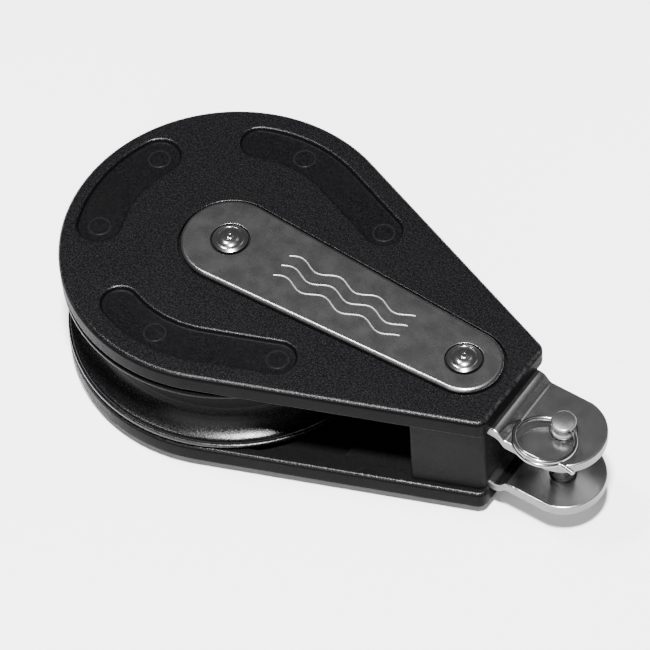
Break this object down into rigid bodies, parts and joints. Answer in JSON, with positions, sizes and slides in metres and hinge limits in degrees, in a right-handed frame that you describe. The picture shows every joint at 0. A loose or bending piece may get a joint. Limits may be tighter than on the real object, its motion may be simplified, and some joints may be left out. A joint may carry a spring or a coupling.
{
  "type": "single sheave block",
  "caption": "Single rope block: a grooved sheave between two moulded teardrop cheeks with stainless side plates, and a fork with a clevis pin and split ring at the nose.",
  "frame": {"origin": "centre of the flat outer face of the lower axle-rivet head, on the axle axis, in the plane the block lies on", "axes": "+Z along the axle, from the lower side plate to the upper one; +X from the axle towards the fork; +Y completes the right-handed frame"},
  "size_m": [0.1455, 0.0826, 0.039],
  "materials": {
    "cheek_nylon": "finely grained black glass-filled nylon",
    "sheave_acetal": "satin black acetal",
    "bearing_polymer": "satin off-white bearing polymer",
    "plate_steel": "satin stainless steel with fine scratches and small pits",
    "rivet_steel": "formed stainless steel, fairly bright",
    "fork_steel": "polished stainless steel",
    "wire_steel": "drawn stainless steel wire"
  },
  "bodies": {
    "frame": {"upper_cheek": "cheek_nylon", "lower_cheek": "cheek_nylon", "upper_side_plate": "plate_steel", "lower_side_plate": "plate_steel", "upper_tang": "fork_steel", "lower_tang": "fork_steel", "axle_rivet": "rivet_steel", "axle_sleeve": "rivet_steel", "upper_thrust_washer": "bearing_polymer", "lower_thrust_washer": "bearing_polymer", "tail_spacer": "cheek_nylon", "tail_sleeve": "rivet_steel", "tail_rivet": "rivet_steel"},
    "wheel": {"sheave": "sheave_acetal", "sheave_bush": "bearing_polymer"},
    "pin": {"clevis_pin": "fork_steel"},
    "ring": {"split_ring": "wire_steel"}
  },
  "joints": [
    {"name": "sheave_spin", "type": "hinge", "parent": "frame", "child": "wheel", "pos_m": [0, 0, 0.0195], "axis": [0, 0, 1], "continuous": true},
    {"name": "pin_turn", "type": "hinge", "parent": "frame", "child": "pin", "pos_m": [0.0938, 0, 0.0195], "axis": [0, 0, 1], "range_deg": [-5, 180]},
    {"name": "ring_swing", "type": "hinge", "parent": "pin", "child": "ring", "pos_m": [0.0938, 0, 0.0313], "axis": [-0.9903, 0.1392, 0], "range_deg": [-8, 140]}
  ]
}
